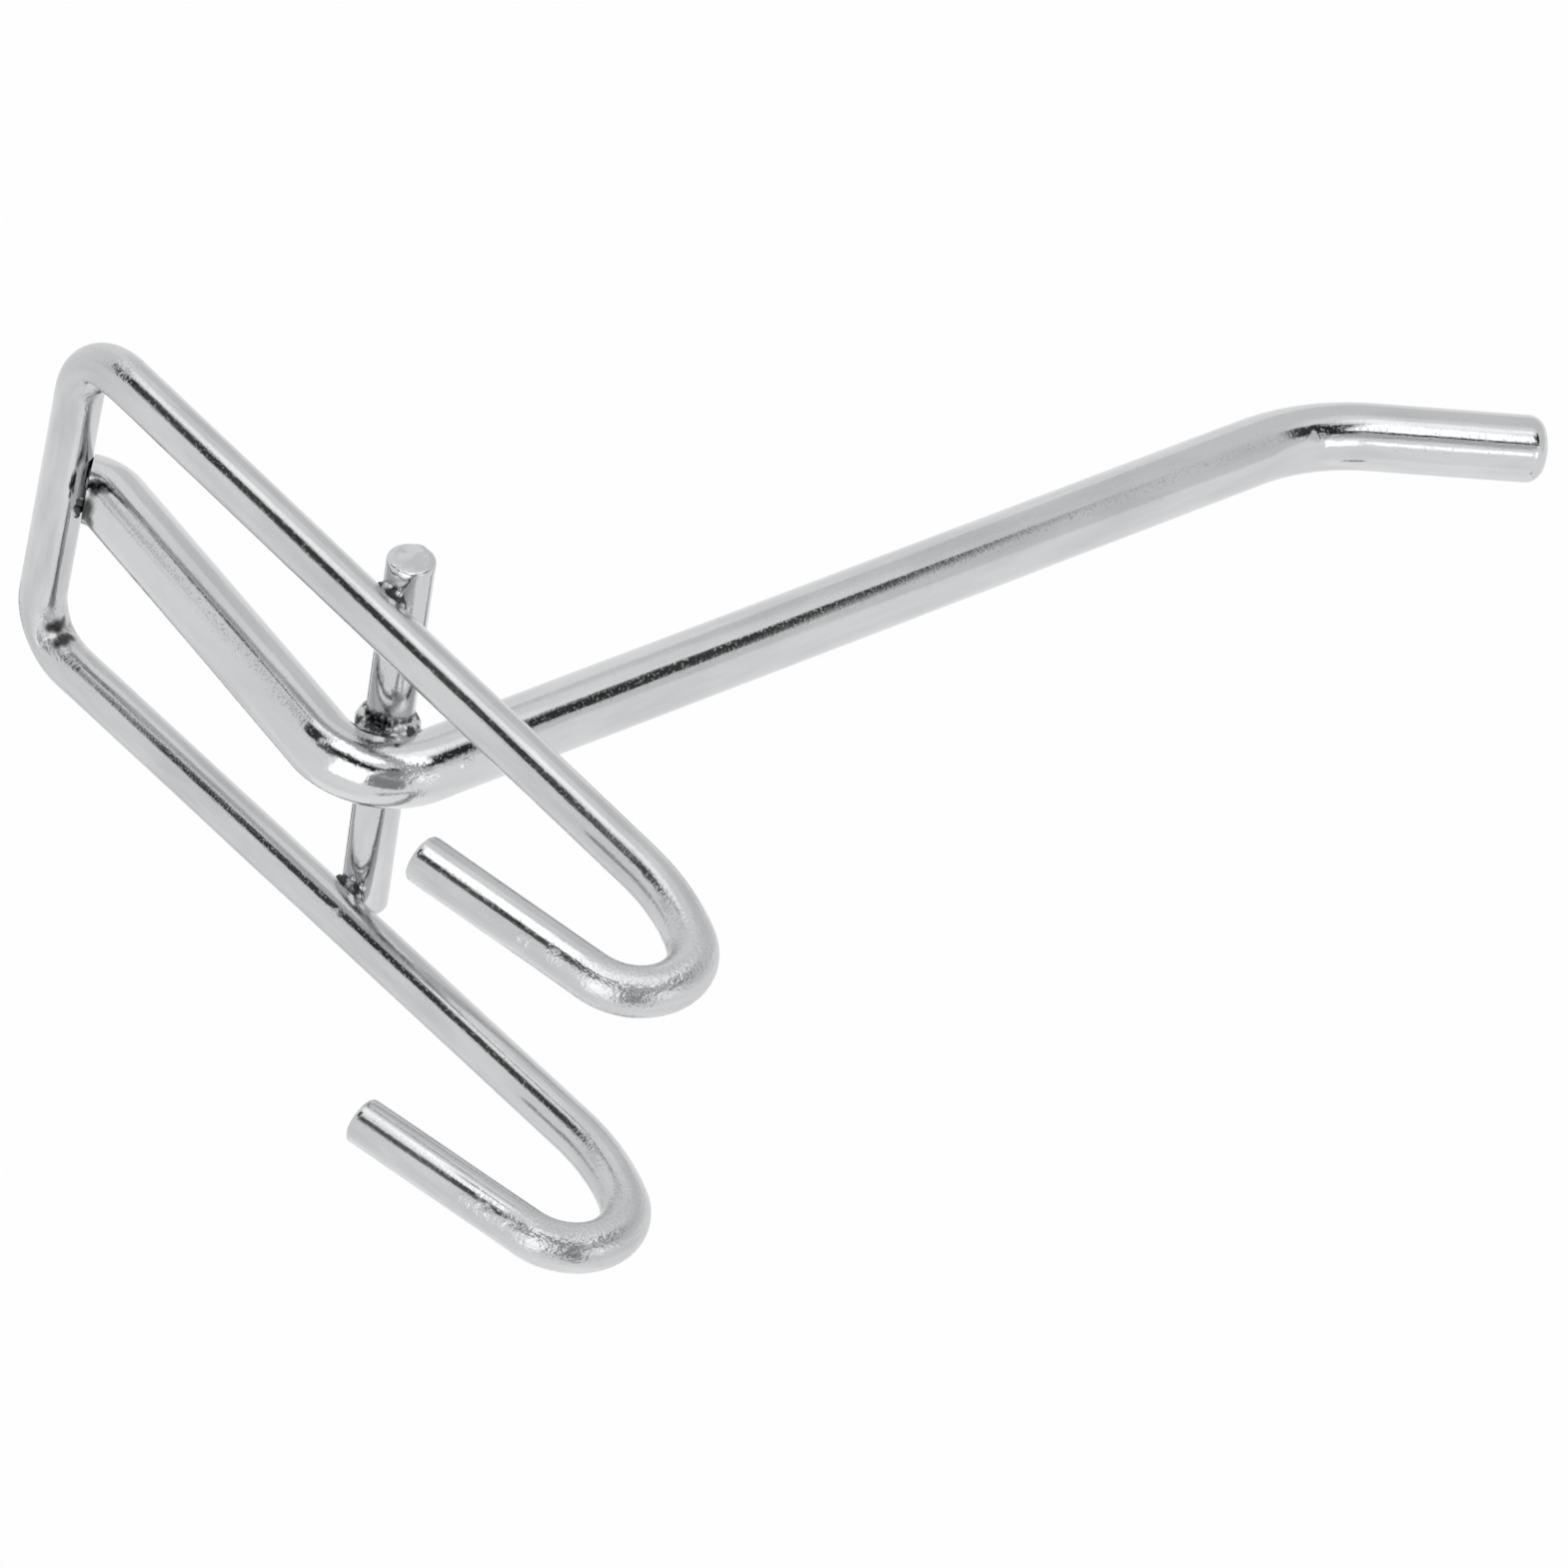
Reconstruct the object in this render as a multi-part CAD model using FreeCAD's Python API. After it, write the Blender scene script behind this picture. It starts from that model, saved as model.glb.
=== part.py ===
import FreeCAD, Part
import math
import os
from FreeCAD import Vector

# Chrome-plated wire hook for a perforated board or a wire grid, as it hangs.
# X runs along the crossbar, -Y points out into the room along the arm, +Z is up.
# The origin is midway between the two hooks, at the centre of their tight bends.

# Wire sizes, mm
frame_wire_diameter = 3.45
arm_wire_diameter = 5.0
pin_diameter = 3.4

# Back frame: a U with a crossbar below and a hook on top of each leg
hook_pitch = 25.0
toe_in = 1.1
leg_height = 57.7
corner_radius = 4.2
lead_bend_radius = 16.4
lead_bend_angle = 25.0
hook_bend_radius = 4.15
hook_total_angle = 169.0
hook_tail_length = 14.3
left_hook_angle = 2.7

# Cross pin, welded over the front of both legs
pin_overhang = 2.7
pin_height = 31.1
pin_sideways = 0.9
pin_slant_angle = 4.6

# Arm: foot on the crossbar, brace, bend over the pin, long arm and raised tip
arm_sideways = 1.1
foot_seat_angle = 135.0
foot_offset = 0.6
foot_bend_radius = 2.8
pin_seat_angle = 70.0
main_bend_radius = 5.2
arm_rise_angle = 4.9
arm_length = 84.8
tip_bend_radius = 18.3
tip_rise_angle = 36.1
tip_length = 18.0

# Cut ends
frame_end_chamfer = 0.25
pin_end_chamfer = 0.2
foot_end_chamfer = 0.4
tip_end_rounding = 1.2

# Welds: how far the wires sink into each other, and the beads round the joints
pin_weld_bite = 0.14
arm_weld_bite = 0.13
foot_weld_bite = 0.12
leg_bead_diameter = 3.4
leg_bead_height = 1.3
arm_bead_diameter = 4.4
arm_bead_height = 1.7
foot_bead_diameter = 1.8
foot_bead_length = 5.0
bead_bevel = 0.3

frame_wire_radius = frame_wire_diameter / 2
arm_wire_radius = arm_wire_diameter / 2
pin_radius = pin_diameter / 2

ACROSS = Vector(1, 0, 0)
BACK = Vector(0, 1, 0)

# Where the frame lies: the legs stand forward of the tight bends by the lead bend's step
bend_step = lead_bend_radius - hook_bend_radius
leg_plane_y = bend_step * math.cos(math.radians(lead_bend_angle)) - lead_bend_radius
leg_top_z = -bend_step * math.sin(math.radians(lead_bend_angle))
crossbar_z = leg_top_z - leg_height
crossbar_middle = Vector(0, leg_plane_y, crossbar_z)

# Where the pin lies: on the front of the legs, sunk in by the weld
pin_length = hook_pitch + 2 * pin_overhang
pin_slope = math.tan(math.radians(pin_slant_angle))
pin_centre = Vector(
    pin_sideways,
    leg_plane_y - frame_wire_radius - pin_radius + pin_weld_bite,
    crossbar_z + pin_height)


def turned(vector, axis, degrees):
    """The vector turned about an axis through the origin."""
    return FreeCAD.Rotation(axis, degrees).multVec(vector)


def in_arm_plane(degrees):
    """Unit vector in the arm's plane, measured from the wall side up over the top."""
    angle = math.radians(degrees)
    return Vector(0, math.cos(angle), math.sin(angle))


def beside_pin_centre(x, y):
    """Point at x and y, at the height that the slanted pin's axis has there."""
    return Vector(x, y, pin_centre.z - (x - pin_centre.x) * pin_slope)


def foot_seat():
    """Point where the arm's foot meets the crossbar, sunk in by the weld."""
    middle = crossbar_middle + ACROSS * arm_sideways
    return middle + in_arm_plane(foot_seat_angle) * (frame_wire_radius - foot_weld_bite)


class WirePath:
    """Centre line of a bent wire, laid down run by run and bend by bend."""

    def __init__(self, start, heading):
        self.start = start
        self.start_heading = heading
        self.place = start
        self.heading = heading
        self.edges = []

    def run(self, length):
        end = self.place + self.heading * length
        self.edges.append(Part.LineSegment(self.place, end).toShape())
        self.place = end

    def bend(self, radius, angle, axis):
        """Turn the heading by angle degrees about axis, on a tangent arc."""
        centre = self.place + axis.cross(self.heading) * radius
        spoke = self.place - centre
        middle = centre + turned(spoke, axis, angle / 2)
        end = centre + turned(spoke, axis, angle)
        self.edges.append(Part.Arc(self.place, middle, end).toShape())
        self.place = end
        self.heading = turned(self.heading, axis, angle)

    def round_wire(self, radius):
        """The solid wire of this radius along the whole path."""
        section = Part.Wire([Part.makeCircle(radius, self.start, self.start_heading)])
        return Part.Wire(self.edges).makePipeShell([section], True, True)


def setback(radius, angle):
    """Length that a bend takes from each of the two runs that meet at its corner."""
    return radius * math.tan(math.radians(angle / 2))


def end_rims(solid, centre, radius):
    """The round edges of the wire end whose middle is at centre."""
    rims = []
    for edge in solid.Edges:
        curve = edge.Curve
        if isinstance(curve, Part.Circle):
            if curve.Center.isEqual(centre, 1e-4) and abs(curve.Radius - radius) < 1e-4:
                rims.append(edge)
    return rims


def bevelled_rod(start, axis, length, diameter, bevel):
    """Straight round rod with both ends bevelled."""
    rod = Part.makeCylinder(diameter / 2, length, start, axis)
    for end in (start, start + axis * length):
        rod = rod.makeChamfer(bevel, end_rims(rod, end, diameter / 2))
    return rod


def frame_half(side, hook_angle):
    """Half of the frame's wire, from the crossbar's middle up one leg and over its hook."""
    corner_turn = 90 + math.degrees(math.atan(toe_in / leg_height))
    corner_setback = setback(corner_radius, corner_turn)
    path = WirePath(crossbar_middle, ACROSS * side)
    path.run(hook_pitch / 2 + toe_in - corner_setback)
    path.bend(corner_radius, corner_turn, BACK * -side)
    path.run(math.hypot(leg_height, toe_in) - corner_setback)
    hook_axis = turned(path.heading.cross(BACK), path.heading, hook_angle)
    hook_axis.normalize()
    path.bend(lead_bend_radius, lead_bend_angle, hook_axis)
    path.bend(hook_bend_radius, hook_total_angle - lead_bend_angle, hook_axis)
    path.run(hook_tail_length)
    wire = path.round_wire(frame_wire_radius)
    return wire.makeChamfer(frame_end_chamfer, end_rims(wire, path.place, frame_wire_radius))


def back_frame():
    """One thin wire: hook, leg, crossbar, leg, hook."""
    right = frame_half(1, 0)
    left = frame_half(-1, -left_hook_angle)
    return right.fuse(left).removeSplitter().Solids[0]


def cross_pin():
    """Short straight rod with sheared ends."""
    heading = turned(ACROSS, BACK, pin_slant_angle)
    start = pin_centre - heading * (pin_length / 2)
    return bevelled_rod(start, heading, pin_length, pin_diameter, pin_end_chamfer)


def crossing_tangent(first_centre, first_radius, second_centre, second_radius):
    """Length and direction of the line that touches two circles in the arm's plane, one on each side."""
    reach = second_centre - first_centre
    radii = first_radius + second_radius
    length = math.sqrt(reach.Length ** 2 - radii ** 2)
    direction = math.atan2(reach.z, reach.y) - math.asin(radii / reach.Length)
    return length, math.degrees(direction)


def arm():
    """Thick wire from the crossbar, over the pin and out to the rounded tip."""
    # The foot's flat end is pressed on the front upper side of the crossbar
    outwards = in_arm_plane(foot_seat_angle)
    wallwards = in_arm_plane(foot_seat_angle - 90)
    foot_end = foot_seat() + wallwards * foot_offset
    foot_centre = foot_end + wallwards * foot_bend_radius
    # The main bend's centre lies so that the inside of the bend seats on the pin
    seat_reach = arm_wire_radius + pin_radius - arm_weld_bite
    centre_offset = in_arm_plane(pin_seat_angle) * (seat_reach - main_bend_radius)
    main_centre = beside_pin_centre(arm_sideways, pin_centre.y) + centre_offset
    brace_length, brace_way = crossing_tangent(
        foot_centre, foot_bend_radius, main_centre, main_bend_radius)
    main_turn = 180 - arm_rise_angle - brace_way
    tip_turn = tip_rise_angle - arm_rise_angle
    main_setback = setback(main_bend_radius, main_turn)
    tip_setback = setback(tip_bend_radius, tip_turn)
    path = WirePath(foot_end, outwards)
    path.bend(foot_bend_radius, foot_seat_angle - brace_way, ACROSS * -1)
    path.run(brace_length)
    path.bend(main_bend_radius, main_turn, ACROSS)
    path.run(arm_length - main_setback - tip_setback)
    path.bend(tip_bend_radius, tip_turn, ACROSS * -1)
    path.run(tip_length - tip_setback)
    wire = path.round_wire(arm_wire_radius)
    wire = wire.makeChamfer(foot_end_chamfer, end_rims(wire, path.start, arm_wire_radius))
    return wire.makeFillet(tip_end_rounding, end_rims(wire, path.place, arm_wire_radius))


def crossing_bead(centre, axis, diameter, height):
    """Disc of weld metal, before the crossing wires are taken out of it."""
    return bevelled_rod(centre - axis * (height / 2), axis, height, diameter, bead_bevel)


def leg_bead(side):
    """Weld metal between the pin and one leg, centred where the two wires touch."""
    drop = leg_top_z - pin_centre.z
    x = side * (hook_pitch / 2 + toe_in * drop / leg_height)
    y = leg_plane_y - frame_wire_radius + pin_weld_bite / 2
    return crossing_bead(beside_pin_centre(x, y), BACK, leg_bead_diameter, leg_bead_height)


def arm_bead():
    """Weld metal between the pin and the inside of the arm's main bend."""
    seat_way = in_arm_plane(pin_seat_angle)
    centre = beside_pin_centre(arm_sideways, pin_centre.y)
    centre += seat_way * (pin_radius - arm_weld_bite / 2)
    return crossing_bead(centre, seat_way, arm_bead_diameter, arm_bead_height)


def foot_bead():
    """Round run of weld metal along the line where the foot's flat end meets the crossbar."""
    start = foot_seat() - ACROSS * (foot_bead_length / 2)
    return bevelled_rod(start, ACROSS, foot_bead_length, foot_bead_diameter, bead_bevel)


def write(name, shape):
    shape.exportStep("parts/" + name + ".step")


os.makedirs("parts", exist_ok=True)

frame_solid = back_frame()
arm_solid = arm().cut(frame_solid)
pin_solid = cross_pin().cut(frame_solid).cut(arm_solid)
wires = [frame_solid, arm_solid, pin_solid]
write("back_frame", frame_solid)
write("arm", arm_solid)
write("cross_pin", pin_solid)
write("right_pin_weld", leg_bead(1).cut(wires))
write("left_pin_weld", leg_bead(-1).cut(wires))
write("arm_pin_weld", arm_bead().cut(wires))
write("arm_foot_weld", foot_bead().cut(wires))
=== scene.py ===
import bpy
import math
from mathutils import Matrix, Vector


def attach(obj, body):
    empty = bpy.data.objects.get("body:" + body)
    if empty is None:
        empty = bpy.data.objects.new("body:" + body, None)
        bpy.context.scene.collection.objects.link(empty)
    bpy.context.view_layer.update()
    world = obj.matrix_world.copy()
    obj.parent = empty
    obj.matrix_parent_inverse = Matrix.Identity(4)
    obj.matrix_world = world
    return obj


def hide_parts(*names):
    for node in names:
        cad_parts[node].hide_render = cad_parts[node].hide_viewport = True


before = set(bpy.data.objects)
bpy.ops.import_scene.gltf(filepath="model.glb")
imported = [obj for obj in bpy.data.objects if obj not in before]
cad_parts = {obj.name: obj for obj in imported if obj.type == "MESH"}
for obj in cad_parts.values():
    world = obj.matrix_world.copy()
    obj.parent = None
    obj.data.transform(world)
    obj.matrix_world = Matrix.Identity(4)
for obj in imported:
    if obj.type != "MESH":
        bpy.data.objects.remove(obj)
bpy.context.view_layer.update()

MM = 0.001
ACROSS = Vector((1, 0, 0))
BACK = Vector((0, 1, 0))
UP = Vector((0, 0, 1))

# Wire sizes, mm
frame_wire_diameter = 3.45
arm_wire_diameter = 5.0
pin_diameter = 3.4

# Back frame: a U with a crossbar below and a hook on top of each leg
hook_pitch = 25.0
toe_in = 1.1
leg_height = 57.7
corner_radius = 4.2
lead_bend_radius = 16.4
lead_bend_angle = 25.0
hook_bend_radius = 4.15
hook_total_angle = 169.0
hook_tail_length = 14.3
left_hook_angle = 2.7

# Cross pin on the front of both legs
pin_overhang = 2.7
pin_height = 31.1
pin_sideways = 0.9
pin_slant_angle = 4.6
pin_weld_bite = 0.14

# Arm: foot on the crossbar, brace, bend over the pin, long arm and raised tip
arm_sideways = 1.1
foot_seat_angle = 135.0
foot_offset = 0.6
foot_bend_radius = 2.8
foot_weld_bite = 0.12
pin_seat_angle = 70.0
arm_weld_bite = 0.13
main_bend_radius = 5.2
arm_rise_angle = 4.9
arm_length = 84.8
tip_bend_radius = 18.3
tip_rise_angle = 36.1
tip_length = 18.0

# Ends of the wires, mm
frame_end_rounding = 0.3
pin_end_rounding = 0.2
tip_end_rounding = 1.2
foot_end_chamfer = 0.35

# Metal squeezed out of the welds, mm
leg_ring_across = 3.1
leg_ring_thickness = 1.0
arm_ring_across = 4.4
arm_ring_thickness = 1.2
arm_ring_height = 1.5
arm_lip_across = 4.6
arm_lip_thickness = 1.3
arm_lip_height = 1.2
arm_lip_sideways = 1.4
arm_lip_outwards = 0.85
arm_lip_angle = 40
foot_run_size = (2.45, 0.80, 0.62)
ring_lumps = 0.30
lip_lumps = 0.10

# Marks that bending left, and the place of the painted shade in the crevice beside the arm, mm
crease_depth = 0.42
crease_reach = 1.3
crevice_sideways = 2.05
crevice_reach = 0.4

# Mesh steps, mm and degrees
wire_sides = 72
ring_spacing = 0.3
bend_step_angle = 3.0
merge_distance = 0.01
smooth_angle = 50
# Shares by which the rings on an end face narrow towards its middle
closing_shares = (0.8, 0.75, 0.67, 0.5, 0.4)
# A bend of this many wire radii or fewer stretches the metal in full
full_stretch_bend = 2.4

# Where the plating came out rough: a place and a reach, mm
rough_frame_spots = (
    ((-11.2, 6.2, -1.85), 1.3), ((-10.7, 5.3, 0.7), 1.5), ((-11.5, 6.55, -3.3), 0.8),
    ((-12.8, -3.6, -29.8), 0.7), ((-11.8, -4.0, -28.9), 0.5), ((12.9, 6.6, -3.6), 0.8),
    ((13.4, 5.9, -1.2), 0.9))
rough_arm_spots = (
    ((1.75, -7.15, -25.5), 1.3), ((2.7, -5.9, -26.4), 1.1), ((0.7, -8.6, -25.2), 1.0),
    ((2.5, -10.1, -25.5), 0.5))

# Painted shade: the chrome is painted dark where shade falls, in the bruised corner creases and the weld
# crevices
frame_crevice_shade_spots = (
    ((-11.0, -4.4, -60.7), 0.55), ((-11.0, -5.0, -60.65), 0.68), ((-11.0, -5.7, -60.65), 0.62),
    ((-11.65, -4.4, -59.85), 0.54), ((-11.6, -5.0, -59.8), 0.68), ((-11.55, -5.7, -59.85), 0.60),
    ((11.0, -5.0, -60.65), 0.40), ((11.6, -5.0, -59.8), 0.40),
    ((13.0, -7.0, -32.3), 1.4), ((-13.0, -7.0, -30.2), 1.4))
arm_crevice_shade_spots = (
    ((1.6, -4.4, -59.4), 1.0), ((0.8, -4.3, -58.9), 0.8), ((0.9, -4.3, -59.6), 0.9),
    ((3.1, -5.3, -59.8), 0.55), ((3.1, -5.4, -59.2), 0.55), ((2.9, -5.0, -59.5), 0.65),
    ((3.0, -5.0, -60.0), 0.5), ((3.3, -5.5, -58.6), 0.35),
    ((0.0, -7.3, -30.6), 1.0), ((2.2, -7.3, -30.8), 1.0))

# Beads of metal beside the welds: a place and a diameter, mm
right_drop_places = (
    ((14.3, -7.0, -32.05), 0.55), ((13.5, -6.8, -31.35), 0.5), ((14.55, -6.75, -32.7), 0.4))
left_drop_places = (
    ((-11.2, -6.95, -29.5), 0.5), ((-11.0, -6.8, -30.3), 0.4))
foot_lump_places = (
    ((0.9, -4.35, -60.1), 0.7), ((1.6, -4.45, -60.05), 0.7), ((0.2, -4.45, -60.25), 0.5))

# Chrome finish, mm
line_spacing = 0.16
line_length = 5.0
grain_size = 0.18
grain_depth = 0.004
peel_size = 0.24
scale_size = 0.40
scale_depth = 0.09
pit_size = 0.20
pit_depth = 0.003
haze_width = 1.6
haze_length = 9.0
# Dark grey painted into the chrome as shade in the creases and crevices
painted_crevice_shade_colour = "#464647"

# Weld metal: random blotches of plating and a fine grit, mm. The dark grey between the blotches is
# partly bare weld and partly painted shade for the crevices
blotch_size = 0.9
grit_size = 0.15
grit_depth = 0.03
bare_weld_and_shade_colour = "#4A4A4B"
plated_weld_colour = "#C6C7C8"

# Sockets of a node that mixes two colours
mix_first = 6
mix_second = 7
mix_result = 2

# Studio, mm. The floor looks mostly plain white, and its lit paint keeps the hook's shadow
studio_middle = Vector((0, -30, -30))
floor_size = 8000
floor_level = -450
floor_colour = "#FBFBFB"
floor_white_share = 0.7

# Camera: a long lens behind the hook, above it and to its right, rolled over. Sizes in mm
camera_azimuth = 48.93
camera_elevation = 26.78
camera_roll = 132.24
camera_aim = Vector((-5.03, -34.31, -17.61))
camera_distance = 609.4
camera_lens = 202.0

frame_wire_radius = frame_wire_diameter / 2
arm_wire_radius = arm_wire_diameter / 2
pin_radius = pin_diameter / 2
bend_step = lead_bend_radius - hook_bend_radius
leg_plane_y = bend_step * math.cos(math.radians(lead_bend_angle)) - lead_bend_radius
leg_top_z = -bend_step * math.sin(math.radians(lead_bend_angle))
crossbar_z = leg_top_z - leg_height
crossbar_middle = Vector((0, leg_plane_y, crossbar_z))
pin_length = hook_pitch + 2 * pin_overhang
pin_slope = math.tan(math.radians(pin_slant_angle))
pin_centre = Vector((
    pin_sideways,
    leg_plane_y - frame_wire_radius - pin_radius + pin_weld_bite,
    crossbar_z + pin_height))


def turned(vector, axis, degrees):
    """The vector turned about an axis through the origin."""
    return Matrix.Rotation(math.radians(degrees), 3, axis) @ vector


def in_arm_plane(degrees):
    """Unit vector in the arm's plane, measured from the wall side up over the top."""
    angle = math.radians(degrees)
    return Vector((0, math.cos(angle), math.sin(angle)))


def beside_pin_centre(x, y):
    """Point at x and y, at the height that the slanted pin's axis has there."""
    return Vector((x, y, pin_centre.z - (x - pin_centre.x) * pin_slope))


def setback(radius, angle):
    """Length that a bend takes from each of the two runs that meet at its corner."""
    return radius * math.tan(math.radians(angle / 2))


class BentWire:
    """A round wire drawn out of one circle in edit mode, run by run and bend by bend."""

    def __init__(self, name, start, heading, side, radius):
        self.place = start.copy()
        self.heading = heading.copy()
        self.side = side.copy()
        self.radius = radius
        self.hand = 1 if heading.x >= 0 else -1
        self.along = 0.0
        self.stretch = 0.0
        self.rings = []
        bpy.ops.object.select_all(action="DESELECT")
        bpy.ops.mesh.primitive_circle_add(vertices=wire_sides, radius=radius * MM)
        self.object = bpy.context.object
        self.object.name = name
        turn = Matrix((side, heading.cross(side), heading)).transposed()
        self.object.matrix_world = Matrix.Translation(start * MM) @ turn.to_4x4()
        bpy.ops.object.transform_apply(location=True, rotation=True, scale=True)
        bpy.ops.object.mode_set(mode="EDIT")
        bpy.ops.mesh.select_all(action="SELECT")
        self.note_ring()

    def note_ring(self):
        """Notes where the open end now is along the wire, and how it stands."""
        ring = (self.along, self.place.copy(), self.heading.copy(), self.side.copy(), self.stretch)
        self.rings.append(ring)

    def run(self, length, steps=None):
        """Draws the open end straight on, with a ring at every step."""
        steps = steps or max(1, round(length / ring_spacing))
        move = self.heading * (length / steps)
        bpy.ops.mesh.extrude_repeat(steps=steps, offset=move * MM)
        for step in range(steps):
            self.place += move
            self.along += length / steps
            self.note_ring()

    def bend(self, radius, angle, axis):
        """Spins the open end by angle degrees about axis, on a tangent arc."""
        arc_steps = round(math.radians(angle) * radius / ring_spacing)
        steps = max(2, math.ceil(angle / bend_step_angle), arc_steps)
        centre = self.place + axis.cross(self.heading) * radius
        bpy.ops.mesh.spin(
            steps=steps, angle=-math.radians(angle), center=centre * MM, axis=axis)
        spoke = self.place - centre
        stretch = min(1.0, self.radius / radius * full_stretch_bend)
        heading = self.heading.copy()
        side = self.side.copy()
        for step in range(1, steps + 1):
            part = angle * step / steps
            self.place = centre + turned(spoke, axis, part)
            self.heading = turned(heading, axis, part)
            self.side = turned(side, axis, part)
            self.along += math.radians(angle / steps) * radius
            self.stretch = stretch
            self.note_ring()
        self.stretch = 0.0

    def close_end(self, rounding, rings):
        """Rounds the open end over, then closes it with narrowing rings."""
        for ring in range(1, rings + 1):
            before = math.radians(90 * (ring - 1) / rings)
            after = math.radians(90 * ring / rings)
            inner = self.radius - rounding
            self.run(rounding * (math.sin(after) - math.sin(before)), 1)
            share = (inner + rounding * math.cos(after)) / (inner + rounding * math.cos(before))
            self.narrow(share)
        self.fill_end()

    def close_start(self, chamfer):
        """Goes back to the first ring, narrows it by the chamfer and closes it."""
        bpy.ops.object.mode_set(mode="OBJECT")
        pick_points(self.object, range(wire_sides))
        self.along, self.place, self.heading, self.side, self.stretch = self.rings[0]
        self.narrow(1 - chamfer / self.radius)
        self.fill_end()

    def fill_end(self):
        """Fills the open end with narrowing rings and a small face in the middle."""
        for share in closing_shares:
            self.run(0.0, 1)
            self.narrow(share)
        bpy.ops.mesh.edge_face_add()

    def evened_stretch(self, here, reach=1.5):
        """How far the metal is stretched at this length, averaged over the wire beside it."""
        near = [ring[4] for ring in self.rings if abs(ring[0] - here) < reach]
        return sum(near) / len(near)

    def narrow(self, share):
        """Scales the open end about its middle."""
        bpy.ops.transform.resize(value=(share, share, share), center_override=self.place * MM)

    def finish(self):
        """Leaves edit mode and notes on every point where it lay in the straight wire."""
        bpy.ops.object.mode_set(mode="OBJECT")
        mesh = self.object.data
        places = []
        stretches = []
        evened = [self.evened_stretch(ring[0]) for ring in self.rings]
        for index, vertex in enumerate(mesh.vertices):
            along, place, heading, side, _ = self.rings[index // wire_sides]
            spoke = vertex.co / MM - place
            height = spoke.dot(heading.cross(side)) * self.hand
            places += (spoke.dot(side), height, along * self.hand)
            stretches.append(evened[index // wire_sides])
        mesh.attributes.new("unbent", "FLOAT_VECTOR", "POINT")
        mesh.attributes.new("stretched", "FLOAT", "POINT")
        mesh.attributes["unbent"].data.foreach_set("vector", places)
        mesh.attributes["stretched"].data.foreach_set("value", stretches)
        return self.object


def only(piece):
    """Makes this piece the only selected one."""
    bpy.ops.object.select_all(action="DESELECT")
    piece.select_set(True)
    bpy.context.view_layer.objects.active = piece


def pick_points(piece, chosen):
    """Goes into edit mode with only these points selected."""
    only(piece)
    bpy.ops.object.mode_set(mode="EDIT")
    bpy.ops.mesh.select_all(action="DESELECT")
    bpy.ops.object.mode_set(mode="OBJECT")
    for index in chosen:
        piece.data.vertices[index].select = True
    bpy.ops.object.mode_set(mode="EDIT")


def points_near(piece, places, reach):
    """The points of a piece that lie within reach of any of these places, mm."""
    near = []
    for vertex in piece.data.vertices:
        if any((vertex.co / MM - place).length < reach for place in places):
            near.append(vertex.index)
    return near


def line_of_places(first, last, count):
    """Evenly spaced places from first to last, mm."""
    first, last = Vector(first), Vector(last)
    return [first.lerp(last, step / (count - 1)) for step in range(count)]


def nudge(piece, places, move, reach, falloff="SMOOTH", core=0.16):
    """Moves the metal at these places, and what lies within reach follows. The core is how
    near a point has to lie to move in full. Sizes in mm."""
    chosen = points_near(piece, places, core)
    if not chosen:
        nearest = min(piece.data.vertices, key=lambda vertex: (vertex.co / MM - places[0]).length)
        chosen = [nearest.index]
    pick_points(piece, chosen)
    bpy.ops.transform.translate(
        value=Vector(move) * MM, use_proportional_edit=True,
        proportional_edit_falloff=falloff, proportional_size=reach * MM)
    bpy.ops.object.mode_set(mode="OBJECT")


def roughen(piece, name, size, depth, level, group=""):
    """Displaces a piece by noise of this grain and depth, mm. The level is the noise value that
    stays in place, so at 1 the surface only sinks."""
    only(piece)
    noise = bpy.data.textures.new(name, "CLOUDS")
    noise.noise_scale = size * MM
    relief = piece.modifiers.new(name, "DISPLACE")
    relief.texture = noise
    relief.texture_coords = "LOCAL"
    relief.strength = depth * MM
    relief.mid_level = level
    relief.vertex_group = group
    bpy.ops.object.modifier_apply(modifier=name)


def mark_spots(piece, name, spots):
    """Notes on every point how deep it lies in these spots: 1 well inside one, 0 at its edge.
    Spots are a place, mm, and a reach."""
    amounts = []
    for vertex in piece.data.vertices:
        place = vertex.co / MM
        inside = max(1 - (place - Vector(spot)).length / reach for spot, reach in spots)
        amounts.append(min(1.0, max(0.0, 2 * inside)))
    piece.data.attributes.new(name, "FLOAT", "POINT")
    piece.data.attributes[name].data.foreach_set("value", amounts)
    return amounts


def mark_rough(piece, spots):
    """Notes where the plating is rough, also as the group of points that is roughened there."""
    group = piece.vertex_groups.new(name="scale")
    for index, amount in enumerate(mark_spots(piece, "rough_plating", spots)):
        if amount > 0:
            group.add([index], amount, "REPLACE")


def join_halves(first, second, name):
    """Joins two halves that start at one ring, and merges them there."""
    bpy.ops.object.select_all(action="DESELECT")
    second.select_set(True)
    first.select_set(True)
    bpy.context.view_layer.objects.active = first
    bpy.ops.object.join()
    first.name = name
    bpy.ops.object.mode_set(mode="EDIT")
    bpy.ops.mesh.select_all(action="SELECT")
    bpy.ops.mesh.remove_doubles(threshold=merge_distance * MM)
    bpy.ops.object.mode_set(mode="OBJECT")
    return outwards(first)


def smoothed(piece):
    """Shades a piece smooth and keeps its sharp edges."""
    only(piece)
    bpy.ops.object.shade_smooth_by_angle(angle=math.radians(smooth_angle))
    return piece


def outwards(piece):
    """Turns every face outwards."""
    only(piece)
    bpy.ops.object.mode_set(mode="EDIT")
    bpy.ops.mesh.select_all(action="SELECT")
    bpy.ops.mesh.normals_make_consistent(inside=False)
    bpy.ops.object.mode_set(mode="OBJECT")
    return piece


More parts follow.
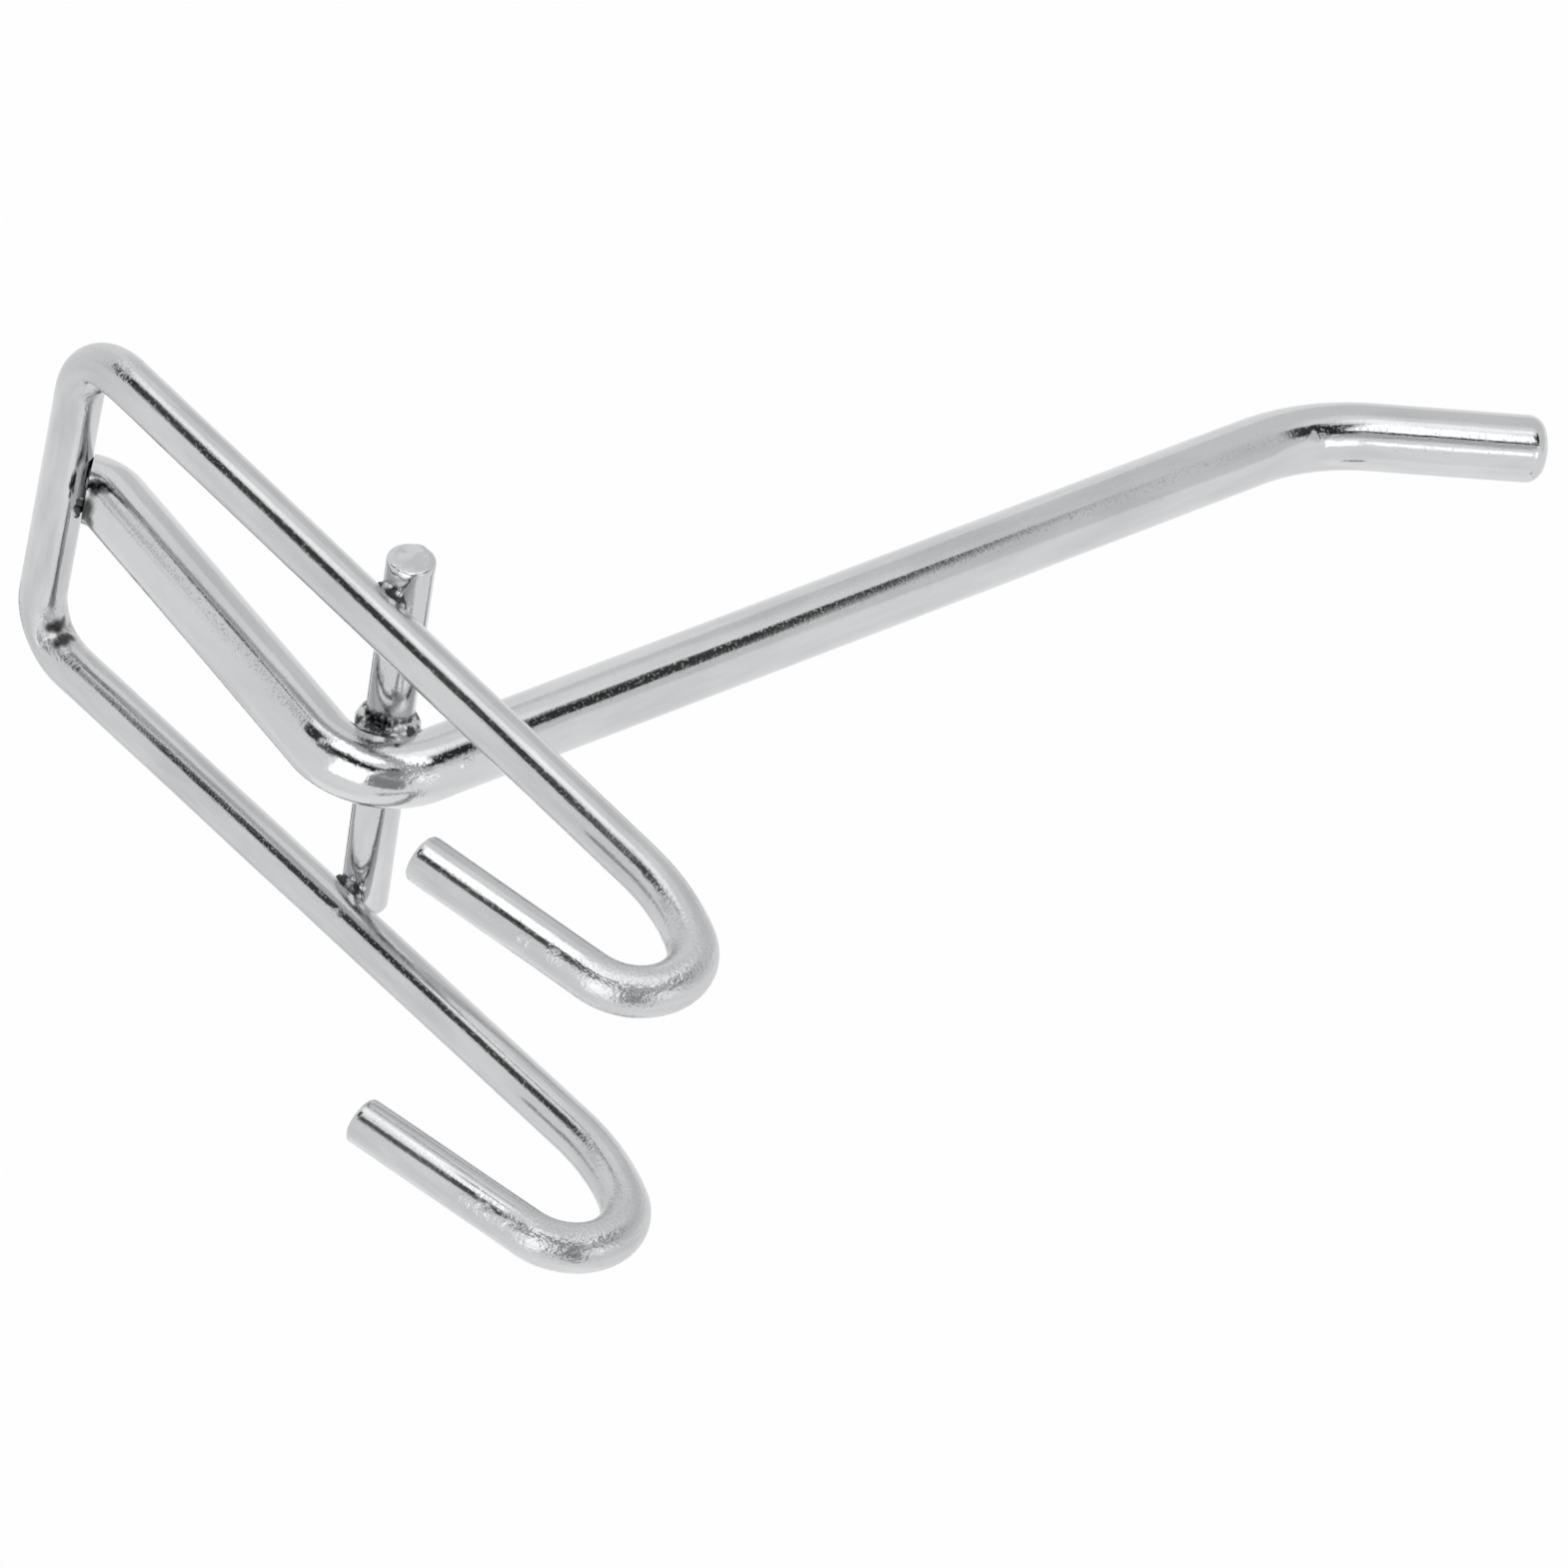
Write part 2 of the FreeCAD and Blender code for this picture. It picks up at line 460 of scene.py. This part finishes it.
def frame_half(side, hook_angle):
    """Half of the frame's wire, from the crossbar's middle up one leg and over its hook."""
    corner_turn = 90 + math.degrees(math.atan(toe_in / leg_height))
    corner_setback = setback(corner_radius, corner_turn)
    wire = BentWire("frame_half", crossbar_middle, ACROSS * side, BACK, frame_wire_radius)
    wire.run(hook_pitch / 2 + toe_in - corner_setback)
    wire.bend(corner_radius, corner_turn, BACK * -side)
    wire.run(math.hypot(leg_height, toe_in) - corner_setback)
    hook_axis = turned(wire.heading.cross(BACK), wire.heading, hook_angle)
    hook_axis.normalize()
    wire.bend(lead_bend_radius, lead_bend_angle, hook_axis)
    wire.bend(hook_bend_radius, hook_total_angle - lead_bend_angle, hook_axis)
    wire.run(hook_tail_length - frame_end_rounding)
    wire.close_end(frame_end_rounding, 3)
    return wire.finish()


def back_frame():
    """One thin wire with the marks that its bending and plating left."""
    right = frame_half(1, 0)
    left = frame_half(-1, -left_hook_angle)
    wire = join_halves(right, left, "back_frame_wire")
    for side in (1, -1):
        crease(wire, side)
    # Flat marks of the bending tool: on the right corner, on the left hook and on the left leg
    nudge(wire, [Vector((15.1, -4.6, -58.6))], (-0.03, -0.02, 0), 0.9)
    nudge(wire, [Vector((-11.5, 4.6, 3.6))], (-0.03, -0.08, -0.06), 2.2)
    nudge(wire, [Vector((-12.8, -3.6, -29.8))], (0, -0.05, 0), 0.8)
    mark_rough(wire, rough_frame_spots)
    # Painted shade in the lower corner creases and beside the pin's welds
    mark_spots(wire, "painted_crevice_shade", frame_crevice_shade_spots)
    roughen(wire, "frame_waves", size=9.0, depth=0.03, level=1.0)
    roughen(wire, "frame_scale", size=0.5, depth=0.14, level=0.8, group="scale")
    return wire


def crease(wire, side):
    """Notch that the bending edge pressed across the inside of a lower corner."""
    low = Vector((side * 11.70, -4.08, -60.48))
    high = Vector((side * 11.45, -6.20, -60.45))
    inwards = Vector((side * crease_depth, 0, -crease_depth))
    nudge(wire, line_of_places(low, high, 9), inwards, crease_reach, "SHARP", 0.2)


def pin_half(heading):
    """Half of the pin's rod, from its middle to its sheared end."""
    wire = BentWire("pin_half", pin_centre, heading, BACK, pin_radius)
    wire.run(pin_length / 2 - pin_end_rounding)
    wire.close_end(pin_end_rounding, 2)
    return wire.finish()


def cross_pin():
    """Short straight rod with the marks that shearing and welding left."""
    heading = turned(ACROSS, BACK, pin_slant_angle)
    rod = join_halves(pin_half(heading), pin_half(-heading), "cross_pin_rod")
    # Sheared end: a torn dent, a burr on the rim and nicks below it
    nudge(rod, [Vector((16.0, -9.0, -33.8))], (-0.16, 0, 0.01), 0.45)
    nudge(rod, [Vector((16.0, -8.30, -34.0))], (-0.05, 0, 0), 0.9)
    nudge(rod, [Vector((16.0, -9.9, -33.6))], (0.10, -0.02, -0.04), 0.45)
    for nick in ((15.95, -7.15, -32.1), (15.95, -7.6, -32.0), (15.95, -6.95, -32.9)):
        nudge(rod, [Vector(nick)], (-0.08, -0.05, -0.03), 0.3)
    # Painted shade: dark chrome painted in the crevice beside the arm
    beside_arm = beside_pin_centre(arm_sideways + crevice_sideways, pin_centre.y)
    crevice = []
    for around in range(-60, 160, 20):
        crevice.append((beside_arm + in_arm_plane(around) * pin_radius, crevice_reach))
    mark_spots(rod, "painted_crevice_shade", crevice)
    roughen(rod, "rod_waves", size=7.0, depth=0.02, level=1.0)
    return rod


def crossing_tangent(first_centre, first_radius, second_centre, second_radius):
    """Length and direction of the line that touches two circles in the arm's plane, one on each side."""
    reach = second_centre - first_centre
    radii = first_radius + second_radius
    length = math.sqrt(reach.length ** 2 - radii ** 2)
    direction = math.atan2(reach.z, reach.y) - math.asin(radii / reach.length)
    return length, math.degrees(direction)


def foot_seat():
    """Point where the arm's foot meets the crossbar, sunk in by the weld."""
    middle = crossbar_middle + ACROSS * arm_sideways
    return middle + in_arm_plane(foot_seat_angle) * (frame_wire_radius - foot_weld_bite)


def arm():
    """Thick wire from the crossbar, over the pin and out to the rounded tip."""
    # The foot's flat end is pressed on the front upper side of the crossbar
    wallwards = in_arm_plane(foot_seat_angle - 90)
    outwards_way = in_arm_plane(foot_seat_angle)
    foot_end = foot_seat() + wallwards * foot_offset
    foot_centre = foot_end + wallwards * foot_bend_radius
    # The main bend's centre lies so that the inside of the bend seats on the pin
    seat_reach = arm_wire_radius + pin_radius - arm_weld_bite
    centre_offset = in_arm_plane(pin_seat_angle) * (seat_reach - main_bend_radius)
    main_centre = beside_pin_centre(arm_sideways, pin_centre.y) + centre_offset
    brace_length, brace_way = crossing_tangent(
        foot_centre, foot_bend_radius, main_centre, main_bend_radius)
    main_turn = 180 - arm_rise_angle - brace_way
    tip_turn = tip_rise_angle - arm_rise_angle
    main_setback = setback(main_bend_radius, main_turn)
    tip_setback = setback(tip_bend_radius, tip_turn)
    wire = BentWire("arm_wire", foot_end, outwards_way, ACROSS, arm_wire_radius)
    wire.bend(foot_bend_radius, foot_seat_angle - brace_way, ACROSS * -1)
    wire.run(brace_length)
    wire.bend(main_bend_radius, main_turn, ACROSS)
    wire.run(arm_length - main_setback - tip_setback)
    wire.bend(tip_bend_radius, tip_turn, ACROSS * -1)
    wire.run(tip_length - tip_setback - tip_end_rounding)
    wire.close_end(tip_end_rounding, 6)
    wire.close_start(foot_end_chamfer)
    thick = outwards(wire.finish())
    # Grip marks at the bend over the pin and at the tip's bend
    nudge(thick, [Vector((2.0, -1.50, -31.8))], (-0.03, -0.08, -0.01), 0.7)
    tip_mark = line_of_places((1.75, -86.9, -17.8), (3.0, -86.6, -18.9), 6)
    nudge(thick, tip_mark, (-0.05, 0, -0.07), 0.6)
    mark_rough(thick, rough_arm_spots)
    # Painted shade beside the foot's weld and the pin's weld
    mark_spots(thick, "painted_crevice_shade", arm_crevice_shade_spots)
    roughen(thick, "arm_waves", size=12.0, depth=0.03, level=1.0)
    roughen(thick, "arm_scale", size=0.5, depth=0.09, level=0.8, group="scale")
    return thick


def squeezed_metal(name, centre, axis, across, thickness, height, lumps):
    """Ring of lumpy metal that the weld squeezed out round a joint. Sizes in mm."""
    bpy.ops.object.select_all(action="DESELECT")
    bpy.ops.mesh.primitive_torus_add(
        major_segments=96, minor_segments=24,
        major_radius=(across - thickness) / 2 * MM, minor_radius=thickness / 2 * MM)
    ring = bpy.context.object
    ring.name = name
    turn = axis.to_track_quat("Z", "Y").to_matrix().to_4x4()
    squash = Matrix.Diagonal((1, 1, height / thickness, 1))
    ring.matrix_world = Matrix.Translation(centre * MM) @ turn @ squash
    bpy.ops.object.transform_apply(location=True, rotation=True, scale=True)
    roughen(ring, name + "_lumps", size=0.7, depth=lumps, level=0.62)
    roughen(ring, name + "_spatter", size=0.22, depth=lumps / 3, level=0.5)
    return ring


def droplets(name, places):
    """Small beads of metal thrown out of a weld: places are a centre, mm, and a diameter."""
    beads = []
    for place, diameter in places:
        bpy.ops.object.select_all(action="DESELECT")
        bpy.ops.mesh.primitive_ico_sphere_add(
            subdivisions=4, radius=diameter / 2 * MM, location=Vector(place) * MM)
        bead = bpy.context.object
        bpy.ops.object.transform_apply(location=True, rotation=True, scale=True)
        roughen(bead, name + "_lump", size=0.3, depth=0.06, level=0.5)
        beads.append(bead)
    for bead in beads:
        bead.select_set(True)
    bpy.context.view_layer.objects.active = beads[0]
    bpy.ops.object.join()
    beads[0].name = name
    return beads[0]


def leg_weld(side, name):
    """Ring between the pin and one leg, centred where the two wires touch."""
    drop = leg_top_z - pin_centre.z
    x = side * (hook_pitch / 2 + toe_in * drop / leg_height)
    y = leg_plane_y - frame_wire_radius + pin_weld_bite / 2
    return squeezed_metal(
        name, beside_pin_centre(x, y), BACK,
        leg_ring_across, leg_ring_thickness, leg_ring_thickness, ring_lumps)


def arm_weld(name):
    """Ring between the pin and the inside of the arm's main bend."""
    seat_way = in_arm_plane(pin_seat_angle)
    centre = beside_pin_centre(arm_sideways, pin_centre.y)
    centre += seat_way * (pin_radius - arm_weld_bite / 2)
    return squeezed_metal(
        name, centre, seat_way, arm_ring_across, arm_ring_thickness, arm_ring_height, ring_lumps)


def arm_weld_lip(side, name):
    """Rim of metal pressed out between the pin and one side of the arm."""
    centre = beside_pin_centre(arm_sideways + side * arm_lip_sideways, pin_centre.y)
    centre += in_arm_plane(arm_lip_angle) * arm_lip_outwards
    return squeezed_metal(
        name, centre, ACROSS, arm_lip_across, arm_lip_thickness, arm_lip_height, lip_lumps)


def foot_weld(name):
    """Low run of metal in the groove between the foot's flat end and the crossbar."""
    bpy.ops.object.select_all(action="DESELECT")
    bpy.ops.mesh.primitive_uv_sphere_add(segments=64, ring_count=48, radius=MM)
    run = bpy.context.object
    run.name = name
    size = Matrix.Diagonal((*foot_run_size, 1))
    lean = Matrix.Rotation(math.radians(foot_seat_angle - 90), 4, "X")
    run.matrix_world = Matrix.Translation(foot_seat() * MM) @ lean @ size
    bpy.ops.object.transform_apply(location=True, rotation=True, scale=True)
    roughen(run, name + "_lumps", size=0.6, depth=0.25, level=0.65)
    roughen(run, name + "_spatter", size=0.2, depth=0.08, level=0.5)
    return run


def hex_colour(code):
    """A linear colour from an sRGB hex value."""
    parts = [int(code[place:place + 2], 16) / 255 for place in (1, 3, 5)]
    linear = [part / 12.92 if part <= 0.04045 else ((part + 0.055) / 1.055) ** 2.4 for part in parts]
    return (*linear, 1.0)


def add_node(material, kind, settings=None, links=None):
    """Adds one node with its settings and its linked inputs."""
    node = material.node_tree.nodes.new(kind)
    for name, value in (settings or {}).items():
        if name in node.inputs:
            node.inputs[name].default_value = value
        elif hasattr(node, name):
            setattr(node, name, value)
    for name, source in (links or {}).items():
        material.node_tree.links.new(source, node.inputs[name])
    return node


def chrome_on_wire(name, colour, haze_colour, roughness, peel_roughness, peel_depth, line_depth):
    """Bright chrome over drawn wire: hard white and dark stripes, a fine grain along the wire,
    and an orange-peel satin where a bend has stretched the metal. Depths in mm."""
    material = bpy.data.materials.new(name)
    material.use_nodes = True
    shader = material.node_tree.nodes["Principled BSDF"]
    shader.inputs["Metallic"].default_value = 1.0
    links = material.node_tree.links
    unbent = add_node(material, "ShaderNodeAttribute", {"attribute_name": "unbent"})
    stretched = add_node(material, "ShaderNodeAttribute", {"attribute_name": "stretched"})
    # Drawing lines, real ones 0.05 mm apart, drawn at 0.16 mm so that they show
    lines_at = add_node(
        material, "ShaderNodeMapping",
        {"Scale": (1 / line_spacing, 1 / line_spacing, 1 / line_length)},
        {"Vector": unbent.outputs["Vector"]})
    drawn_lines = add_node(
        material, "ShaderNodeTexNoise", {"Scale": 1.0, "Detail": 4.0, "Roughness": 0.6},
        {"Vector": lines_at.outputs["Vector"]})
    # Grain of the steel, real one 0.03 mm, drawn at 0.18 mm so that it shows
    grain = add_node(
        material, "ShaderNodeTexNoise", {"Scale": 1 / grain_size, "Detail": 3.0, "Roughness": 0.65},
        {"Vector": unbent.outputs["Vector"]})
    # Orange peel of the stretched steel, real one 0.1 mm, drawn at 0.24 mm so that it shows
    peel = add_node(
        material, "ShaderNodeTexNoise", {"Scale": 1 / peel_size, "Detail": 2.0, "Roughness": 0.5},
        {"Vector": unbent.outputs["Vector"]})
    haze_at = add_node(
        material, "ShaderNodeMapping", {"Scale": (1 / haze_width, 1 / haze_width, 1 / haze_length)},
        {"Vector": unbent.outputs["Vector"]})
    haze = add_node(
        material, "ShaderNodeTexNoise", {"Scale": 1.0, "Detail": 3.0, "Roughness": 0.55},
        {"Vector": haze_at.outputs["Vector"]})
    tone = add_node(material, "ShaderNodeMix", {"data_type": "RGBA"})
    tone.inputs[mix_first].default_value = hex_colour(haze_colour)
    tone.inputs[mix_second].default_value = hex_colour(colour)
    clouded = add_node(
        material, "ShaderNodeMapRange", {"From Min": 0.35, "From Max": 0.6},
        {"Value": haze.outputs["Fac"]})
    links.new(clouded.outputs["Result"], tone.inputs["Factor"])
    # Painted shade: the chrome turns dark grey where the painted crevice shade attribute marks creases
    # and crevices
    shade_amount = add_node(material, "ShaderNodeAttribute", {"attribute_name": "painted_crevice_shade"})
    shaded_tone = add_node(material, "ShaderNodeMix", {"data_type": "RGBA"})
    links.new(shade_amount.outputs["Fac"], shaded_tone.inputs["Factor"])
    links.new(tone.outputs[mix_result], shaded_tone.inputs[mix_first])
    shaded_tone.inputs[mix_second].default_value = hex_colour(painted_crevice_shade_colour)
    links.new(shaded_tone.outputs[mix_result], shader.inputs["Base Color"])
    dull = add_node(
        material, "ShaderNodeMapRange",
        {"From Min": 0.3, "From Max": 0.75, "To Min": roughness * 0.7, "To Max": roughness * 1.5},
        {"Value": haze.outputs["Fac"]})
    satin = add_node(
        material, "ShaderNodeMapRange", {"To Max": peel_roughness},
        {"Value": stretched.outputs["Fac"]})
    rough = add_node(
        material, "ShaderNodeMath", {"operation": "ADD"},
        {0: dull.outputs["Result"], 1: satin.outputs["Result"]})
    links.new(rough.outputs["Value"], shader.inputs["Roughness"])
    line_relief = add_node(
        material, "ShaderNodeBump", {"Strength": 1.0, "Distance": line_depth * MM},
        {"Height": drawn_lines.outputs["Fac"]})
    grain_relief = add_node(
        material, "ShaderNodeBump", {"Strength": 1.0, "Distance": grain_depth * MM},
        {"Height": grain.outputs["Fac"], "Normal": line_relief.outputs["Normal"]})
    peel_height = add_node(
        material, "ShaderNodeMath", {"operation": "MULTIPLY"},
        {0: peel.outputs["Fac"], 1: stretched.outputs["Fac"]})
    peel_relief = add_node(
        material, "ShaderNodeBump", {"Strength": 1.0, "Distance": peel_depth * MM},
        {"Height": peel_height.outputs["Value"], "Normal": grain_relief.outputs["Normal"]})
    rough_plating = add_node(material, "ShaderNodeAttribute", {"attribute_name": "rough_plating"})
    # Fine pits, real ones 0.05 mm across, drawn at 0.2 mm so that they show as specks
    pits = add_node(
        material, "ShaderNodeTexNoise", {"Scale": 1 / pit_size, "Detail": 2.0, "Roughness": 0.6},
        {"Vector": unbent.outputs["Vector"]})
    sparse = add_node(
        material, "ShaderNodeMapRange", {"From Min": 0.60, "From Max": 0.69},
        {"Value": pits.outputs["Fac"]})
    pit_relief = add_node(
        material, "ShaderNodeBump", {"Strength": 1.0, "Distance": pit_depth * MM},
        {"Height": sparse.outputs["Result"], "Normal": peel_relief.outputs["Normal"]})
    scale = add_node(
        material, "ShaderNodeTexNoise", {"Scale": 1 / scale_size, "Detail": 3.0, "Roughness": 0.65},
        {"Vector": unbent.outputs["Vector"]})
    scale_height = add_node(
        material, "ShaderNodeMath", {"operation": "MULTIPLY"},
        {0: scale.outputs["Fac"], 1: rough_plating.outputs["Fac"]})
    scale_relief = add_node(
        material, "ShaderNodeBump", {"Strength": 1.0, "Distance": scale_depth * MM},
        {"Height": scale_height.outputs["Value"], "Normal": pit_relief.outputs["Normal"]})
    links.new(scale_relief.outputs["Normal"], shader.inputs["Normal"])
    return material


def weld_metal_with_shade(name, dark_below, plated_from):
    """Squeezed-out weld metal in random blotches: dull dark grey with bright plated lumps. The dark grey
    is partly bare weld and partly painted shade in the crevices."""
    material = bpy.data.materials.new(name)
    material.use_nodes = True
    shader = material.node_tree.nodes["Principled BSDF"]
    shader.inputs["Metallic"].default_value = 1.0
    links = material.node_tree.links
    place = add_node(material, "ShaderNodeTexCoord")
    blotches = add_node(
        material, "ShaderNodeTexNoise",
        {"Scale": 1 / (blotch_size * MM), "Detail": 4.0, "Roughness": 0.6},
        {"Vector": place.outputs["Object"]})
    plated = add_node(
        material, "ShaderNodeMapRange", {"From Min": dark_below, "From Max": plated_from},
        {"Value": blotches.outputs["Fac"]})
    tone = add_node(material, "ShaderNodeMix", {"data_type": "RGBA"})
    tone.inputs[mix_first].default_value = hex_colour(bare_weld_and_shade_colour)
    tone.inputs[mix_second].default_value = hex_colour(plated_weld_colour)
    links.new(plated.outputs["Result"], tone.inputs["Factor"])
    links.new(tone.outputs[mix_result], shader.inputs["Base Color"])
    dull = add_node(
        material, "ShaderNodeMapRange", {"To Min": 0.42, "To Max": 0.14},
        {"Value": plated.outputs["Result"]})
    links.new(dull.outputs["Result"], shader.inputs["Roughness"])
    grit = add_node(
        material, "ShaderNodeTexNoise", {"Scale": 1 / (grit_size * MM), "Detail": 3.0},
        {"Vector": place.outputs["Object"]})
    relief = add_node(
        material, "ShaderNodeBump", {"Strength": 1.0, "Distance": grit_depth * MM},
        {"Height": grit.outputs["Fac"]})
    links.new(relief.outputs["Normal"], shader.inputs["Normal"])
    return material


def dressed(piece, node, material):
    """Gives a piece its finish and puts it in the place of its CAD node."""
    piece.data.materials.clear()
    piece.data.materials.append(material)
    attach(piece, "root")
    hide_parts(node)
    return smoothed(piece)


def added(piece, material):
    """Gives a piece that has no CAD node its finish and its place on the body."""
    piece.data.materials.append(material)
    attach(piece, "root")
    return smoothed(piece)


frame_chrome = chrome_on_wire(
    "satin_bright_chrome_on_thin_wire", colour="#CDCECF", haze_colour="#BFC0C2", roughness=0.10,
    peel_roughness=0.14, peel_depth=0.065, line_depth=0.007)
arm_chrome = chrome_on_wire(
    "bright_chrome_on_thick_wire", colour="#CFD0D1", haze_colour="#C6C7C9", roughness=0.07,
    peel_roughness=0.02, peel_depth=0.008, line_depth=0.004)
dressed(back_frame(), "back_frame", frame_chrome)
dressed(cross_pin(), "cross_pin", arm_chrome)
dressed(arm(), "arm", arm_chrome)
# The weld pieces' dark grey is partly bare weld and partly painted shade in the crevices round the
# joints
shaded_weld_metal = weld_metal_with_shade("weld_metal_with_painted_shade", dark_below=0.50, plated_from=0.62)
plated = weld_metal_with_shade("mostly_plated_weld_metal", dark_below=0.40, plated_from=0.50)
dressed(leg_weld(1, "right_pin_weld_ring"), "right_pin_weld", shaded_weld_metal)
dressed(leg_weld(-1, "left_pin_weld_ring"), "left_pin_weld", shaded_weld_metal)
dressed(arm_weld("arm_pin_weld_ring"), "arm_pin_weld", plated)
dressed(foot_weld("arm_foot_weld_run"), "arm_foot_weld", shaded_weld_metal)
added(droplets("right_pin_weld_drops", right_drop_places), arm_chrome)
added(droplets("left_pin_weld_drops", left_drop_places), arm_chrome)
added(droplets("arm_foot_weld_lumps", foot_lump_places), shaded_weld_metal)
added(arm_weld_lip(1, "arm_pin_weld_right_lip"), plated)
added(arm_weld_lip(-1, "arm_pin_weld_left_lip"), plated)


def seen_at(azimuth, elevation):
    """Unit vector towards a stand or the camera: azimuth from +Y towards +X, elevation above level."""
    flat = math.cos(math.radians(elevation))
    turn = math.radians(azimuth)
    return Vector((math.sin(turn) * flat, math.cos(turn) * flat, math.sin(math.radians(elevation))))


def stand(name, azimuth, elevation, width, height, brightness, distance, lean=0.0):
    """Board on a stand, facing the hook, that only the bright metal sees. Sizes in mm. A lean
    turns it in its own plane."""
    way = seen_at(azimuth, elevation)
    bpy.ops.object.select_all(action="DESELECT")
    bpy.ops.mesh.primitive_plane_add(size=1.0)
    board = bpy.context.object
    board.name = name
    facing = way.to_track_quat("Z", "Y").to_matrix().to_4x4()
    turn = facing @ Matrix.Rotation(math.radians(lean), 4, "Z")
    size = Matrix.Diagonal((width * MM, height * MM, 1, 1))
    board.matrix_world = Matrix.Translation((studio_middle + way * distance) * MM) @ turn @ size
    board.visible_camera = False
    board.visible_diffuse = False
    board.visible_shadow = False
    cloth = bpy.data.materials.new(name)
    cloth.use_nodes = True
    cloth.node_tree.nodes.clear()
    glow = add_node(cloth, "ShaderNodeEmission", {"Color": (1, 1, 1, 1), "Strength": brightness})
    add_node(cloth, "ShaderNodeOutputMaterial", links={"Surface": glow.outputs["Emission"]})
    board.data.materials.append(cloth)


def white_floor():
    """Floor that shows white to the camera and in the metal, and keeps the hook's shadow."""
    bpy.ops.object.select_all(action="DESELECT")
    bpy.ops.mesh.primitive_plane_add(size=floor_size * MM, location=(0, 0, floor_level * MM))
    floor = bpy.context.object
    floor.name = "floor"
    paint = bpy.data.materials.new("white_sweep")
    paint.use_nodes = True
    shader = paint.node_tree.nodes["Principled BSDF"]
    shader.inputs["Base Color"].default_value = hex_colour(floor_colour)
    shader.inputs["Roughness"].default_value = 0.9
    ray = add_node(paint, "ShaderNodeLightPath")
    seen = add_node(
        paint, "ShaderNodeMath", {"operation": "MAXIMUM"},
        {0: ray.outputs["Is Camera Ray"], 1: ray.outputs["Is Glossy Ray"]})
    seen = add_node(
        paint, "ShaderNodeMath", {"operation": "MAXIMUM"},
        {0: seen.outputs["Value"], 1: ray.outputs["Is Transmission Ray"]})
    share = add_node(
        paint, "ShaderNodeMapRange", {"To Max": floor_white_share}, {"Value": seen.outputs["Value"]})
    white = add_node(paint, "ShaderNodeEmission", {"Color": (1, 1, 1, 1), "Strength": 1.0})
    floor_mix = add_node(
        paint, "ShaderNodeMixShader", None,
        {0: share.outputs["Result"], 1: shader.outputs["BSDF"], 2: white.outputs["Emission"]})
    paint.node_tree.links.new(
        floor_mix.outputs["Shader"], paint.node_tree.nodes["Material Output"].inputs["Surface"])
    floor.data.materials.append(paint)


def white_tent():
    """Even white light from all round."""
    world = bpy.data.worlds.new("white_tent")
    world.use_nodes = True
    world.node_tree.nodes["Background"].inputs["Color"].default_value = (1, 1, 1, 1)
    bpy.context.scene.world = world


def boards_and_flags():
    """Bright boards for the white lines on the metal, grey panels and black flags for the dark
    ones. Each has its azimuth, elevation, width, height, brightness and distance."""
    stand("grey_side", 150, 5, 430, 1100, 0.80, 490)
    stand("bright_side", -85, 5, 500, 1100, 1.10, 490)
    stand("grey_low_far_side", -79, -29, 240, 150, 0.88, 470)
    stand("window_past_camera", 18, 20, 430, 280, 1.7, 460)
    stand("flag_tall_by_camera", 51.5, 9, 130, 400, 0.02, 450)
    stand("flag_by_camera", 42, -9, 100, 150, 0.12, 440)
    stand("board_by_camera", 76, -12, 290, 75, 1.9, 440, lean=16)
    stand("board_upright_by_camera", 72, 5, 145, 210, 1.8, 450)
    stand("flag_low_by_camera", 55.5, -27.5, 200, 116, 0.05, 430)
    stand("board_low_beside_camera", 87, -27, 130, 100, 1.4, 430)
    stand("board_beside_tip", 102, 18, 118, 270, 1.8, 450)
    stand("board_low_beside_tip", 108.5, 3, 165, 135, 1.45, 455)
    stand("panel_over_camera", 42, 47, 540, 160, 0.33, 475)
    stand("panel_over_tip", 97, 49, 150, 115, 0.6, 470)
    stand("panel_far_over_camera", 10, 56, 280, 270, 0.30, 480)
    stand("flag_over_camera", 79, 36, 290, 44, 0.0, 440, lean=-10)
    stand("board_over_camera", 64, 68, 90, 56, 1.9, 450)
    stand("board_overhead", 108, 72, 110, 130, 1.8, 460)
    stand("flag_beside_arm", 123.5, 24, 64, 210, 0.05, 440)
    stand("flag_beside_tip", 116, 27, 90, 150, 0.03, 435)
    stand("flag_over_arm", 113, 40, 130, 70, 0.03, 440)
    stand("flag_behind_crossbar", -101, 45, 60, 32, 0.05, 450)
    stand("flag_low_under_brace", 80, -37.5, 46, 50, 0.08, 440)
    stand("flag_low_under_foot", 47, -42.7, 95, 32, 0.5, 440)
    stand("flag_far_under_foot", 29, -44.5, 50, 32, 0.2, 440)
    stand("board_low_beyond", -105, -27, 100, 130, 1.4, 440)
    stand("flag_under_foot", -103, -44, 90, 40, 0.1, 440)


def camera():
    """Aims the camera at the hook from its azimuth and elevation, and rolls it."""
    data = bpy.data.cameras.new("camera")
    data.sensor_width = 36.0
    data.lens = camera_lens
    data.clip_start = 0.05
    data.clip_end = 20
    eye = bpy.data.objects.new("camera", data)
    bpy.context.scene.collection.objects.link(eye)
    back = seen_at(camera_azimuth, camera_elevation)
    right = turned(UP.cross(back).normalized(), back, camera_roll)
    turn = Matrix((right, back.cross(right), back)).transposed().to_4x4()
    eye.matrix_world = Matrix.Translation((camera_aim + back * camera_distance) * MM) @ turn
    bpy.context.scene.camera = eye


white_floor()
white_tent()
boards_and_flags()
camera()
bpy.context.scene.view_settings.view_transform = "Standard"
